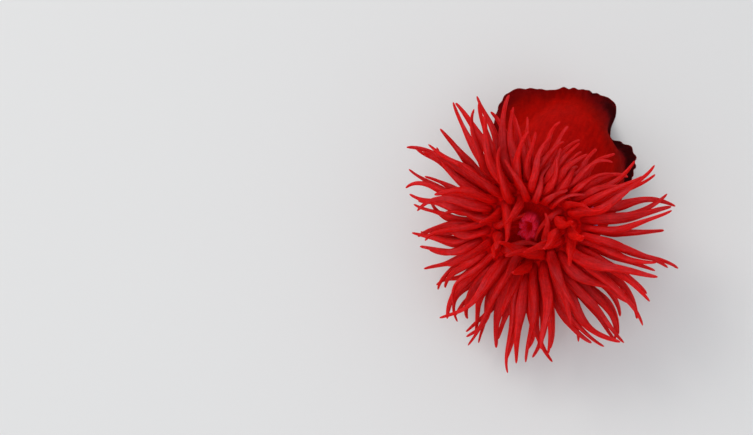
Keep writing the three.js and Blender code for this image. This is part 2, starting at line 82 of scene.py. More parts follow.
# ---------- floor and light ----------
# A plain pale floor, a broad soft lamp high on the far left, another over the near side that looks into
# the crown, and a pale room.
FLOOR_HALF = 1.5
FLOOR_COLOUR = (0.78, 0.77, 0.75, 1)
CROWN_MIDDLE = (-0.007, -0.016, 0.02)
LAMPS = (  # name, place and size in metres, power in watts, colour
    ("key", (-0.42, 0.34, 0.62), 0.30, 1.5, (1.0, 0.97, 0.93)),
    ("fill", (-0.12, -0.36, 0.72), 0.35, 1.2, (0.92, 0.95, 1.0)),
)
ROOM_COLOUR = (0.92, 0.95, 1.0, 1)
ROOM_STRENGTH = 0.68

floor_mesh = bpy.data.meshes.new("floor")
floor_corners = [(x * FLOOR_HALF, y * FLOOR_HALF, 0) for x, y in ((-1, -1), (1, -1), (1, 1), (-1, 1))]
floor_mesh.from_pydata(floor_corners, [], [(0, 1, 2, 3)])
floor = new_object("floor", floor_mesh)


def new_material(name):
    """A material and its empty node tree."""
    material = bpy.data.materials.new(name)
    material.use_nodes = True
    material.node_tree.nodes.clear()
    return material, material.node_tree


def node(tree, kind, inputs=None, **settings):
    """A node with its settings, each input given a value or linked to another node's output."""
    made = tree.nodes.new(kind)
    for name, value in settings.items():
        setattr(made, name, value)
    for name, value in (inputs or {}).items():
        if isinstance(value, bpy.types.NodeSocket):
            tree.links.new(value, made.inputs[name])
        else:
            made.inputs[name].default_value = value
    return made


def surface(tree, looks):
    """Ends a material's tree with a surface of the given looks."""
    shader = node(tree, "ShaderNodeBsdfPrincipled", looks)
    node(tree, "ShaderNodeOutputMaterial", {"Surface": shader.outputs["BSDF"]})


floor_material, tree = new_material("floor")
surface(tree, {"Base Color": FLOOR_COLOUR, "Roughness": 0.8})
floor_mesh.materials.append(floor_material)


def lamp(name, place, size, power, colour):
    """A square soft lamp that faces the middle of the crown."""
    data = bpy.data.lights.new(name, "AREA")
    data.size = size
    data.energy = power
    data.color = colour
    made = new_object(name, data)
    made.location = place
    made.rotation_euler = (Vector(CROWN_MIDDLE) - Vector(place)).to_track_quat("-Z", "Y").to_euler()


for looks in LAMPS:
    lamp(*looks)
world = bpy.data.worlds.new("room")
bpy.context.scene.world = world
world.use_nodes = True
room = world.node_tree.nodes["Background"]
room.inputs["Color"].default_value = ROOM_COLOUR
room.inputs["Strength"].default_value = ROOM_STRENGTH
bpy.context.scene.view_settings.view_transform = "Standard"

# ---------- skin: column, disc and tentacles in one ----------
# The whole animal is one soft bag of flesh: a broad foot that clings, a smooth column, a collar, and a
# disc that carries the tentacles round the mouth. Nothing is joined to anything, so it is one mesh, and
# the tentacles grow out of the margin. Millimetres and degrees here; the mesh is made in metres.

# First the outline of the body, as it is in the frame.


def table(keys, *rows):
    """Rows of numbers, each under the names of its columns."""
    return [dict(zip(keys.split(), row)) for row in rows]


FOOT = {"half_x": 16.4, "half_y": 19.4}
TILT = math.radians(30)
TOWARD = math.radians(245)
COLUMN = {  # `low` and `top` are radii, and the foot spreads out below the share `flare` of the height
    "low": 14.6, "top": 14.2, "belly": 0.9, "oval": 1.6,
    "head": -7, "flare": 0.45, "power": 1.7, "bow": 0.16,
}
SCALLOPS = (  # waves of the foot's edge: depth as a share of its radius, number and start
    (0.130, 1, -2.10),
    (0.065, 2, 1.90),
    (0.040, 3, -1.05),
    (0.037, 4, 2.95),
    (0.057, 5, 0.40),
    (0.012, 9, 0.00),
    (0.008, 14, 2.00),
)
BAYS = table(  # where stones press into the foot's edge, and where it reaches out between them
    "toward half out",
    (11, 19, 0.095),
    (34, 15, -0.170),
    (53, 16, 0.100),
    (94, 22, 0.035),
    (132, 14, 0.050),
)
ROLL = {"mid": 9.1, "drop": -2.4, "wide": 4.9, "high": 3.8, "inner": 126, "outer": 4}
MARGIN_LOBES = ((0.05, 2, math.radians(-20)), (0.03, 3, math.radians(-40)))
MARGIN_WAVES = ((0.55, 3, math.radians(50)), (0.35, 5, math.radians(10)))
ZONE_FLOOR = -2.9  # the height below which the body is round and level
BULGE = 15.0  # the radius of the collar
LIP_RISE = 2.6  # how high the lips stand over the disc


def mix(a, b, t):
    """The value at share t of the way from a to b."""
    return a + (b - a) * t


def smooth(t):
    """An even rise from 0 to 1 as t goes from 0 to 1."""
    t = np.clip(t, 0, 1)
    return t * t * (3 - 2 * t)


def unit(v):
    """Vectors at length 1."""
    return v / np.linalg.norm(v, axis=-1, keepdims=True)


# The disc leans by TILT and faces TOWARD. ACROSS and ALONG are the two directions that lie in it.
AXIS = np.array([math.sin(TILT) * math.cos(TOWARD), math.sin(TILT) * math.sin(TOWARD), math.cos(TILT)])
ACROSS = unit(np.array([1.0, 0, 0]) - AXIS * AXIS[0])
ALONG = np.cross(AXIS, ACROSS)


def ripples(phi, waves, level=0):
    """Waves round a ring on a level, each with its depth, number and start."""
    return sum((deep * np.cos(many * phi + start) for deep, many, start in waves), level)


def facing(phi, toward, half):
    """How strongly directions in degrees face another: 1 straight at it, 0 from `half` away."""
    return smooth(1 - np.abs((phi - toward + 540) % 360 - 180) / half)


def from_sides(phi, sides, key):
    """What some sides add up to in a direction in radians."""
    return sum(side[key] * facing(np.degrees(phi), side["toward"], side["half"]) for side in sides)


def lobe(phi):
    """How far the margin is out of round."""
    return ripples(phi, MARGIN_LOBES, 1)


def wave(phi):
    """How the margin rises and falls."""
    return ripples(phi, MARGIN_WAVES)


def margin_share(rho, h):
    """How much of the lobes and waves a place has."""
    return smooth((h - ZONE_FLOOR) / -ZONE_FLOOR) * smooth(rho / ROLL["mid"])


def away(phi):
    """The way in the disc that a direction in radians points."""
    return np.cos(phi)[..., None] * ACROSS + np.sin(phi)[..., None] * ALONG


def disc_point(rho, h, phi):
    """The point at a radius, height and direction (radians) of the disc, with lobes and waves."""
    rho, h, phi = np.broadcast_arrays(np.asarray(rho, float), h, phi)
    share = margin_share(rho, h)
    r = (rho * mix(1, lobe(phi), share))[..., None]
    up = (h + wave(phi) * share)[..., None]
    return DISC_CENTRE + r * away(phi) + up * AXIS


def on_roll(angle):
    """Radius and height on the roll that bears the tentacles, at an angle in degrees."""
    a = np.radians(angle)
    return ROLL["mid"] + ROLL["wide"] * np.cos(a), ROLL["drop"] + ROLL["high"] * np.sin(a)


def roll_point(angle, phi):
    """The point of the roll at an angle in degrees and a direction in radians."""
    rho, h = on_roll(angle)
    return disc_point(rho, h, phi)


def foot_edge(phi):
    """How far the foot's edge is out of round."""
    return 1 + ripples(phi, SCALLOPS) + from_sides(phi, BAYS, "out")


def column_ring(s, phi):
    """A level of the column at share s of its height. Its plane turns from the floor's to the disc's."""
    up = unit(mix(np.array([0, 0, 1.0]), AXIS, smooth(s)))
    side = unit(np.array([1.0, 0, 0]) - up * up[0])
    ahead = np.cross(up, side)
    head = DISC_CENTRE + COLUMN["head"] * AXIS
    bow = COLUMN["bow"] * math.sin(math.pi * s)
    middle = head * np.array([s - bow, s - bow, s])
    flare = max(0, 1 - s / COLUMN["flare"]) ** COLUMN["power"]
    barrel = mix(COLUMN["low"], COLUMN["top"], s) + COLUMN["belly"] * math.sin(math.pi * s)
    edge = mix(foot_edge(phi), 1, smooth(s / COLUMN["flare"]))
    half_x = mix(barrel, FOOT["half_x"], flare) * edge
    half_y = mix(barrel + COLUMN["oval"] * (1 - smooth(s)), FOOT["half_y"], flare) * edge
    return middle + (half_x * np.cos(phi))[:, None] * side + (half_y * np.sin(phi))[:, None] * ahead


# Then the tentacles: four rows, each planted on the roll and grown along its own lean, then pushed apart.
# They lean by `rise` at the root and by `lie`, give or take `mixed`, at the tip.
ROWS = table(
    "count on turn root belly length rise lie mixed",
    (24, 108, 0, 0.84, 1.10, 18, -16, 40, 70),
    (24, 82, 7.5, 0.84, 1.12, 21, 12, 74, 60),
    (48, 55, 3.75, 0.66, 1.08, 21, 46, 92, 11),
    (48, 28, 7.5, 0.66, 0.98, 18.5, 70, 98, 7),
)
NAME_STEP = 100  # a tentacle's name is its row times this, plus its number in the row
STEPS = 13
BELLY_AT = 0.36  # share of the length at which a tentacle is thickest
TAPER = 1.3
TIP = 0.25
BEND_BY = 0.62  # share of the length by which it has bent over
CURL_FROM = 0.6  # share of the length at which its end starts to curl
SWAY_WAVES = 1.1
SWAY_GROWS = 3
VARY = {"length": 0.15, "radius": 0.14, "rise": 18, "twist": 52, "curl": 46, "sway": 18}
DRAWS = ("length", "rise", "lie", "twist", "curl", "radius", "sway", "phase", "tone", "flat")
SCATTER = {"name": 12.9898, "draw": 78.233, "by": 43758.5453}  # for fixed random numbers
CLUMPS = {"twist": 16, "twist_waves": 5, "twist_from": 40, "lie": 8, "lie_waves": 7}
SIDES = table(  # over the column short and bent back; on the narrow side short; on the low side long
    "toward half longer stouter droop lean",
    (60, 58, -0.46, -0.34, 30, -34),
    (190, 75, -0.24, -0.14, 10, 0),
    (290, 80, 0.03, 0.04, -8, 0),
)
FOLDED = {12: 29, 15: -30, 2: 30, 22: -55}  # inner tentacles that fold over the mouth, and their turn
FOLD = {"shorter": 0.70, "from": -26, "to": -84}
SETTLE = {  # `home` is the pull back to where each grew
    "rounds": 340, "clear": 0.6, "off_body": 0.15, "floor": 1.2, "home": 0.02, "home_fades": 1.4,
    "smooth": 0.3, "relist": 10, "reach": 2.6, "margin": 1.6, "free": 2,
}
TINY = 1e-9


def chance(name, what):
    """A fixed random number from 0 to 1 for each tentacle and each thing that varies."""
    draw = 1 + DRAWS.index(what)
    x = math.sin(name * SCATTER["name"] + draw * SCATTER["draw"]) * SCATTER["by"]
    return x - math.floor(x)


def swing(name, what):
    """The same from -1 to 1."""
    return 2 * chance(name, what) - 1


def plant():
    """The tentacles' leans, twists, curls, sways and sizes, one number for each."""
    planted = []
    for row_number, row in enumerate(ROWS):
        for i in range(row["count"]):
            name = row_number * NAME_STEP + i
            phi = 360 / row["count"] * i + row["turn"]
            folded = row_number == 0 and i in FOLDED
            length = row["length"] * (1 + VARY["length"] * swing(name, "length"))
            if folded:
                length *= FOLD["shorter"]
            lie = row["lie"] + CLUMPS["lie"] * math.sin(math.radians(CLUMPS["lie_waves"] * phi))
            lie += row["mixed"] * swing(name, "lie")
            stout = 1 + VARY["radius"] * swing(name, "radius")
            bunched = math.radians(CLUMPS["twist_waves"] * phi + CLUMPS["twist_from"])
            twist = CLUMPS["twist"] * math.sin(bunched) + VARY["twist"] * swing(name, "twist")
            for side in SIDES:
                share = float(facing(phi, side["toward"], side["half"]))
                length *= 1 + side["longer"] * share
                stout *= 1 + side["stouter"] * share
                lie += side["droop"] * share
                twist += side["lean"] * share
            rise = row["rise"] + VARY["rise"] * swing(name, "rise")
            planted.append({
                "phi": math.radians(phi),
                "length": length,
                "from": math.radians(FOLD["from"] if folded else rise),
                "to": math.radians(FOLD["to"] if folded else lie),
                "turn": math.radians(FOLDED[i] if folded else 0),
                "twist": math.radians(twist),
                "curl": math.radians(VARY["curl"] * swing(name, "curl")),
                "radius": stout,
                "sway": math.radians(VARY["sway"] * swing(name, "sway")),
                "phase": chance(name, "phase"),
                **{key: row[key] for key in ("on", "root", "belly")},
            })
    return {key: np.array([t[key] for t in planted]) for key in planted[0]}


def heading(t, u):
    """The direction of growth at share u of the length: over at first, then nearly straight."""
    bent = 1 - (1 - min(1, u / BEND_BY)) ** 2
    angle = mix(t["from"], t["to"], bent) + t["curl"] * max(0, u - CURL_FROM)
    sway = t["sway"] * np.sin(math.tau * (SWAY_WAVES * u + t["phase"])) * min(1, SWAY_GROWS * u)
    phi = t["phi"] + t["turn"] + t["twist"] * u * u + sway
    return np.sin(angle)[:, None] * away(phi) + np.cos(angle)[:, None] * AXIS


def thickness(t, u):
    """The radius of every tentacle at shares u of the length."""
    u = np.asarray(u)[None, :]
    root = t["root"][:, None]
    belly = (t["belly"] * t["radius"])[:, None]
    swell = mix(root, belly, np.sin(math.pi / 2 * np.clip(u / BELLY_AT, 0, 1)))
    rest = np.clip((u - BELLY_AT) / (1 - BELLY_AT), 0, 1)
    return np.where(u < BELLY_AT, swell, mix(belly, TIP, rest ** TAPER))


def off_body(p, clear):
    """Points pushed out of the roll, the collar and the column."""
    d = p - DISC_CENTRE
    x, y, up = d @ ACROSS, d @ ALONG, d @ AXIS
    phi = np.arctan2(y, x)
    flat = np.hypot(x, y)
    share = margin_share(flat, up)
    rho = flat / mix(1, lobe(phi), share)
    h = up - wave(phi) * share
    u = (rho - ROLL["mid"]) / ROLL["wide"]
    v = (h - ROLL["drop"]) / ROLL["high"]
    q = np.maximum(np.hypot(u, v), TINY)
    need = np.maximum(0, 1 + clear / ROLL["high"] - q)
    below = h <= ROLL["drop"]
    within = ~below & (rho <= on_roll(ROLL["inner"])[0])
    outward = np.where(below, np.maximum(0, BULGE + clear - rho), need * u / q * ROLL["wide"])
    upward = np.where(within, np.maximum(0, clear + LIP_RISE - h), need * v / q * ROLL["high"])
    outward = np.where(within, 0, outward)[..., None]
    upward = np.where(below, 0, upward)[..., None]
    return p + outward * away(phi) + upward * AXIS


def near_pairs(chains):
    """Pairs of steps of two tentacles that may soon touch."""
    start = chains[:, :-1].reshape(-1, 3)
    step = np.linalg.norm(chains[:, 1:] - chains[:, :-1], axis=2).reshape(-1)
    owner = np.arange(len(start)) // STEPS
    squares = (start ** 2).sum(1)
    apart = squares[:, None] + squares[None, :] - 2 * start @ start.T
    reach = SETTLE["reach"] * (step + SETTLE["margin"])
    return np.nonzero((apart < reach[:, None] ** 2) & (owner[:, None] < owner[None, :]))


def nearest_shares(p1, d1, p2, d2):
    """Where steps d1 from p1 and d2 from p2 come nearest each other, as shares of them."""
    r = p1 - p2
    aa, ee, ab = (d1 * d1).sum(1), (d2 * d2).sum(1), (d1 * d2).sum(1)
    cc, ff = (d1 * r).sum(1), (d2 * r).sum(1)
    spread = aa * ee - ab * ab
    guess = np.where(spread > TINY, np.clip((ab * ff - cc * ee) / np.maximum(spread, TINY), 0, 1), 0.5)
    w2 = np.clip((ab * guess + ff) / ee, 0, 1)
    w1 = np.clip((ab * w2 - cc) / aa, 0, 1)
    return w1, w2


def pushed_apart(chains, radii, first, second):
    """The chains after a push between those of the listed pairs of steps that are too near."""
    i, a = first // STEPS, first % STEPS
    j, b = second // STEPS, second % STEPS
    p1, p2 = chains[i, a], chains[j, b]
    d1, d2 = chains[i, a + 1] - p1, chains[j, b + 1] - p2
    w1, w2 = nearest_shares(p1, d1, p2, d2)
    between = p1 + d1 * w1[:, None] - p2 - d2 * w2[:, None]
    apart = np.linalg.norm(between, axis=1)
    need = mix(radii[i, a], radii[i, a + 1], w1) + mix(radii[j, b], radii[j, b + 1], w2)
    need = need + SETTLE["clear"]
    hit = (apart < need) & (apart >= TINY)
    by = between[hit] * (0.5 * (need[hit] - apart[hit]) / apart[hit])[:, None]
    ends = ((i, a, 1 - w1, 1), (i, a + 1, w1, 1), (j, b, 1 - w2, -1), (j, b + 1, w2, -1))
    where = np.concatenate([(m * (STEPS + 1) + k)[hit] for m, k, share, sign in ends])
    share = np.concatenate([share[hit] for m, k, share, sign in ends])
    pushes = np.concatenate([sign * share[hit][:, None] * by for m, k, share, sign in ends])
    weight = np.bincount(where, share, radii.size)
    push = np.stack([np.bincount(where, pushes[:, n], radii.size) for n in range(3)], -1)
    return chains + (push / np.maximum(1, weight)[:, None]).reshape(chains.shape)


def settle(t):
    """Grows every tentacle, then for a fixed number of rounds pushes them apart from one another, the body
    and the floor.
    """
    rho, h = on_roll(t["on"])
    places = [disc_point(rho, h, t["phi"])]
    step = (t["length"] / STEPS)[:, None]
    for k in range(STEPS):
        places.append(places[-1] + heading(t, (k + 0.5) / STEPS) * step)
    home = np.stack(places, 1)
    radii = thickness(t, np.arange(STEPS + 1) / STEPS)
    chains = home.copy()
    free = SETTLE["free"]
    for turn in range(SETTLE["rounds"]):
        if turn % SETTLE["relist"] == 0:
            first, second = near_pairs(chains)
        moved = pushed_apart(chains, radii, first, second)
        pull = SETTLE["home"] * max(0, 1 - SETTLE["home_fades"] * turn / SETTLE["rounds"])
        moved = mix(moved, home, pull)
        moved[:, free:] = off_body(moved[:, free:], radii[:, free:] + SETTLE["off_body"])
        moved[..., 2] = np.maximum(moved[..., 2], radii + SETTLE["floor"])
        shift = moved - home
        moved[:, 1:-1] += SETTLE["smooth"] * ((shift[:, :-2] + shift[:, 2:]) / 2 - shift[:, 1:-1])
        for k in range(1, STEPS + 1):
            chains[:, k] = chains[:, k - 1] + unit(moved[:, k] - chains[:, k - 1]) * step
    return chains


tentacles = plant()
lines = settle(tentacles)

# Now the mesh. Points go in blocks, each with marks that the finish reads, and faces with their place
# on the flat map of the skin.
AROUND = 240
BODY_PHI = math.tau * np.arange(AROUND) / AROUND
MARKS = (
    "along", "on_tentacle", "up_column", "on_disc", "on_lips", "in_hollow", "streaks", "relief", "tone",
)
points = []
grain = []
marks = {name: [] for name in MARKS}
faces = []
map_places = []


def put(place, grain_place, **given):
    """Adds a block of points with their marks, and gives back their numbers in its shape."""
    shape = place.shape[:-1]
    numbers = sum(len(block) for block in points) + np.arange(math.prod(shape)).reshape(shape)
    points.append(place.reshape(-1, 3))
    grain.append(np.broadcast_to(grain_place, place.shape).reshape(-1, 3))
    for name in MARKS:
        marks[name].append(np.broadcast_to(given.get(name, 0.0), shape).reshape(-1))
    return numbers


def joined(*parts):
    """Numbers of matching shapes, joined as coordinates."""
    return np.stack(np.broadcast_arrays(*parts), -1)


def strip(rings, places):
    """Faces between rings of points. Numbers are (rings, n), map places (rings, n + 1, 2)."""
    after = np.roll(rings, -1, axis=1)
    quads = np.stack([rings[:-1], after[:-1], after[1:], rings[1:]], -1)
    corners = np.stack([places[:-1, :-1], places[:-1, 1:], places[1:, 1:], places[1:, :-1]], -2)
    faces.extend(quads.reshape(-1, 4).tolist())
    map_places.append(corners.reshape(-1, 2))


def close(ring, pole, ring_places, pole_places):
    """A fan of triangles from a ring to a pole. Their map places are (n + 1, 2) and (n, 2)."""
    after = np.roll(ring, -1)
    fan = np.stack([ring, after, np.full_like(ring, pole)], -1)
    corners = np.stack([ring_places[:-1], ring_places[1:], pole_places], -2)
    faces.extend(fan.tolist())
    map_places.append(corners.reshape(-1, 2))


# The flat map: tentacles in a grid above, then the column's wall, the crown and the underside below.
MAP_TENTACLES = {"columns": 24, "low": 0.335, "high": 0.998, "gap": 0.003}
MAP_WALL = {"left": 0.005, "right": 0.495, "low": 0.01, "high": 0.325}
MAP_CROWN = {"x": 0.665, "y": 0.167, "half": 0.16, "filled": 0.98}
MAP_UNDER = {"x": 0.915, "y": 0.09, "half": 0.08}
MAP_POLE = {"under": 0.004, "throat": 0.002}  # spreads a fan's middle, so that each face has area


def round_map(spot, share, phi):
    """Places on a round patch of the flat map."""
    out = spot["half"] * share
    return joined(spot["x"] + out * np.cos(phi), spot["y"] + out * np.sin(phi))


# Underside, wall and collar. The foot's edge is finely frilled where the flesh grips the rock.
UNDER_SHARES = (0.12, 0.25, 0.4, 0.55, 0.7, 0.82, 0.91, 0.96, 0.982)
WALL_LEVELS = np.concatenate([[0.004, 0.014, 0.028, 0.045, 0.065, 0.09], np.linspace(0.12, 1, 27)])
COLLAR_LINE = (
    (14.42, -6.6), (14.75, -6.1), (14.95, -5.6), (15.0, -5.15), (14.95, -4.7), (14.75, -4.25), (14.4, -3.8),
    (13.95, -3.45), (13.5, -3.2), (13.3, -3.0), (13.4, -2.75), (13.65, -2.5), (13.85, -2.3),
)
WIDE_SIDE = math.radians(15)  # where the foot is most deeply frilled
FRILL = {"deep": 0.30, "all_round": 0.75, "wide_side": 0.45, "under": 8, "gone_at": 0.06, "fade": 1.5}
FRILL_WAVES = (  # height, number, start, and how far and in how many bunches each is uneven
    (1.60, 19, 0, 2.4, 5),
    (0.25, 59, 1, 0.0, 0),
    (0.40, 41, 0, 2.0, 3),
)
SKIRT = {"deep": 1.25, "uneven": 0.1, "full_at": 0.08, "gone_at": 0.40}  # the wall's step over the frill
# Where the dark of the foot reaches further up, and where it is a thin line. The dark edge is the flesh's
# own colour; its broad reach on the side turned from the lamps is painted shade.
FOOT_DARK_AND_SHADE = table("toward half more", (8, 75, 2.0), (95, 50, -0.45))
GROOVE = {"inside": 14.6, "over": 1.0, "above": -4, "rise": 0.5, "dark": 0.7}  # where the beads stand; `dark` is how much of the hollows' painted bounce light the groove takes
RELIEF_FROM = 0.1  # share of the wall's height over which its dimples begin
STREAKS = {  # how fine they are, and how far along them the parts of the body lie
    "fine": 6.0, "wall": 3.0, "collar": 3.1, "crown_degrees": 300,
    "disc": 3.55, "disc_radius": 4, "tentacle": 2.2, "apart": 10,
}


def fade(value, start, over):
    """0 up to the start and 1 beyond it by `over`, which is negative for what fades in downward."""
    return smooth((value - start) / over)


def frill(phi):
    """Rounded lobes with sharp notches and fine waves, deepest on the wide side."""
    lobes, *fine = (
        high * np.sin(many * phi + start + uneven * np.sin(bunches * phi))
        for high, many, start, uneven, bunches in FRILL_WAVES
    )
    side = FRILL["all_round"] + FRILL["wide_side"] * np.cos(phi - WIDE_SIDE)
    return FRILL["deep"] * (np.abs(lobes) - 1 + sum(fine)) * side


def streak_place(phi, level):
    """Where a point of the body is in the streaks' own space, which has no seam."""
    return joined(STREAKS["fine"] * np.cos(phi), STREAKS["fine"] * np.sin(phi), level)


foot_ring = column_ring(0, BODY_PHI)
out_from_middle = unit(foot_ring * [1, 1, 0])
frills = frill(BODY_PHI)[:, None] * out_from_middle
uneven_skirt = 1 + SKIRT["uneven"] * np.cos(BODY_PHI - WIDE_SIDE)
turned = np.append(BODY_PHI, math.tau)
turned_between = BODY_PHI + math.pi / AROUND

bottom = put(np.zeros((1, 3)), np.zeros(3))[0]
under_rings = []
for share in UNDER_SHARES:
    ring = (foot_ring + frills * share ** FRILL["under"]) * share
    under_rings.append(put(ring, streak_place(BODY_PHI, 0)))
under = np.stack(under_rings)
under_places = np.stack([round_map(MAP_UNDER, share, -turned) for share in UNDER_SHARES])
strip(under, under_places)
pole_places = round_map(MAP_UNDER, MAP_POLE["under"], -turned_between)
close(np.roll(under[0][::-1], 1), bottom, under_places[0][::-1], pole_places[::-1])

# The foot's own dark, reaching higher on the side turned from the lamps as painted shade.
foot_dark_and_shade = 1 + from_sides(BODY_PHI, FOOT_DARK_AND_SHADE, "more")
wall_rings = [under[-1]]
for level in WALL_LEVELS:
    step_in = smooth(level / SKIRT["full_at"]) * (1 - fade(level, SKIRT["full_at"], SKIRT["gone_at"]))
    ring = column_ring(level, BODY_PHI)
    ring += frills * max(0, 1 - level / FRILL["gone_at"]) ** FRILL["fade"]
    ring -= SKIRT["deep"] * step_in * uneven_skirt[:, None] * out_from_middle
    wall_rings.append(put(
        ring,
        streak_place(BODY_PHI, STREAKS["wall"] * level),
        up_column=level ** foot_dark_and_shade, streaks=1, relief=smooth(level / RELIEF_FROM),
    ))
for rho, h in COLLAR_LINE:
    # The groove under the beads takes part of the hollows' painted bounce light.
    in_groove = fade(rho, GROOVE["inside"], -GROOVE["over"]) * fade(h, GROOVE["above"], GROOVE["rise"])
    wall_rings.append(put(
        disc_point(rho, h, BODY_PHI),
        streak_place(BODY_PHI, STREAKS["collar"]),
        up_column=1, in_hollow=GROOVE["dark"] * in_groove, streaks=1 - in_groove, relief=1,
    ))


# Crown. The roll between its two edges is filled with triangles round the roots of the tentacles. It is
# laid flat as a ring, a little shrunk along the roll, so that it closes on itself.
TUBE_SIDES = 14
ROOT_SPREAD = 1.12  # how much wider a tentacle is where it leaves the roll
FILLET = 0.22  # how far the flesh rises into a tentacle, and the width of that rise
FILLET_WIDTH = 0.18
VALLEY = 0.14  # how far it sinks between tentacles
EDGE_SOFT = 0.6  # how far from the crown's edges and the roots its hollows, and their painted bounce light, are full
ROOT_SOFT = 0.3
OUTER_FACE = 60  # angle on the roll where the column's colour ends
SOFT_RELIEF = 0.4
FILL = {"spacing": 0.42, "nearest": 0.6, "off_roots": 0.10, "off_edges": 0.25}
ROLL_SAMPLES = 400
WITHIN_HULL = 0  # the triangulation fills the whole outline
SAME_POINT = 1e-6

roll_angles = np.linspace(ROLL["outer"], ROLL["inner"], ROLL_SAMPLES)
roll_section = joined(*on_roll(roll_angles))
roll_steps = np.linalg.norm(np.diff(roll_section, axis=0), axis=1)
roll_length = np.concatenate([[0], np.cumsum(roll_steps)])
ROLL_OUT = float(on_roll(ROLL["outer"])[0])
ROLL_IN = float(on_roll(ROLL["inner"])[0])


def flat_radius(angle):
    """The radius of an angle of the roll when that is laid flat."""
    length = np.interp(angle, roll_angles, roll_length)
    return mix(ROLL_OUT, ROLL_IN, length / roll_length[-1])


def along_roll(angle):
    """Millimetres of the roll's section for each degree at an angle."""
    a = np.radians(angle)
    return np.radians(1) * np.hypot(ROLL["wide"] * np.sin(a), ROLL["high"] * np.cos(a))


def root_circle(t, radius, turn):
    """Angles and directions of points of the roll on a circle round each root."""
    around = math.tau * (np.arange(TUBE_SIDES) + turn) / TUBE_SIDES
    angle = t["on"][:, None] - radius[:, None] * np.cos(around) / along_roll(t["on"])[:, None]
    phi = t["phi"][:, None] + radius[:, None] * np.sin(around) / on_roll(t["on"])[0][:, None]
    return angle, phi


def flat_place(angle, phi):
    """The place of a point of the roll when that is laid flat."""
    r = flat_radius(angle)
    return joined(r * np.cos(phi), r * np.sin(phi))


root_radius = ROOT_SPREAD * tentacles["root"]
root_angle, root_phi = root_circle(tentacles, root_radius, 0)
halo_angle, halo_phi = root_circle(tentacles, root_radius + FILLET, 0.5)


def from_roots(angle, phi):
    """Distance from the nearest root's edge, in millimetres."""
    best = np.full(angle.shape, np.inf)
    for on, where, radius in zip(tentacles["on"], tentacles["phi"], root_radius):
        down = (angle - on) * along_roll(on)
        aside = (phi - where + math.pi) % math.tau - math.pi
        best = np.minimum(best, np.hypot(down, aside * on_roll(on)[0]) - radius)
    return best


def from_edges(angle):
    """Distance from the nearer edge of the roll, in millimetres."""
    length = np.interp(angle, roll_angles, roll_length)
    return np.minimum(length, roll_length[-1] - length)


# Points that fill the roll between the roots: some round each root, the rest in even rows.
fill_angles = [halo_angle.reshape(-1)]
fill_phis = [halo_phi.reshape(-1)]
fill_rows = int(roll_length[-1] / FILL["spacing"])
for fill_row in range(1, fill_rows):
    angle = float(np.interp(fill_row / fill_rows * roll_length[-1], roll_length, roll_angles))
    in_row = int(math.tau * on_roll(angle)[0] / FILL["spacing"])
    fill_angles.append(np.full(in_row, angle))
    fill_phis.append(math.tau * (np.arange(in_row) + fill_row % 2 / 2) / in_row)
fill_angle = np.concatenate(fill_angles)
fill_phi = np.concatenate(fill_phis)
off_roots = from_roots(fill_angle, fill_phi) > FILL["off_roots"]
off_edges = from_edges(fill_angle) > FILL["off_edges"]
fill_angle, fill_phi = fill_angle[off_roots & off_edges], fill_phi[off_roots & off_edges]
fill_flat = flat_place(fill_angle, fill_phi)
too_near = FILL["nearest"] * FILL["spacing"]
kept = []
for number, place in enumerate(fill_flat):
    if not kept or np.min(np.linalg.norm(fill_flat[kept] - place, axis=1)) > too_near:
        kept.append(number)
fill_angle, fill_phi = fill_angle[kept], fill_phi[kept]

outer_angle = np.full(AROUND, float(ROLL["outer"]))
inner_angle = np.full(AROUND, float(ROLL["inner"]))
all_angle = np.concatenate([outer_angle, inner_angle, root_angle.reshape(-1), fill_angle])
all_phi = np.concatenate([BODY_PHI, BODY_PHI, root_phi.reshape(-1), fill_phi])
flat = flat_place(all_angle, all_phi)
root_loops = 2 * AROUND + np.arange(root_angle.size).reshape(root_angle.shape)
loops = [np.arange(AROUND), AROUND + np.arange(AROUND), *root_loops]
edges = [(int(a), int(b)) for loop in loops for a, b in zip(loop, np.roll(loop, -1))]
cut = delaunay_2d_cdt([Vector(p) for p in flat], edges, [], WITHIN_HULL, SAME_POINT)
cut_points, cut_faces, came_from = cut[0], cut[2], cut[3]
flat_now = np.array([tuple(p) for p in cut_points])
source = np.array([which[0] if which else -1 for which in came_from])
triangles = np.array([list(f) for f in cut_faces])
middles = flat_now[triangles].mean(1)
keep = np.hypot(middles[:, 0], middles[:, 1]) > ROLL_IN * math.cos(math.pi / AROUND)
for outline in flat_place(root_angle, root_phi):
    ahead = np.roll(outline, -1, axis=0) - outline
    side = ahead[:, None, 0] * (middles[None, :, 1] - outline[:, None, 1])
    side -= ahead[:, None, 1] * (middles[None, :, 0] - outline[:, None, 0])
    keep &= ~(np.all(side > 0, axis=0) | np.all(side < 0, axis=0))
triangles = source[triangles[keep]]

# The crown's points in place, raised into the tentacles and sunk between them.
SLIGHT = 0.01  # degrees and radians, to find which way the roll faces
across_roll = roll_point(all_angle + SLIGHT, all_phi) - roll_point(all_angle - SLIGHT, all_phi)
round_roll = roll_point(all_angle, all_phi + SLIGHT) - roll_point(all_angle, all_phi - SLIGHT)
faces_out = unit(np.cross(round_roll, across_roll))
root_gap = np.maximum(0, from_roots(all_angle, all_phi))
lift = FILLET * np.exp(-root_gap / FILLET_WIDTH) - VALLEY * (1 - np.exp(-root_gap / VALLEY))
inside_edges = smooth(from_edges(all_angle) / EDGE_SOFT)
lift *= inside_edges
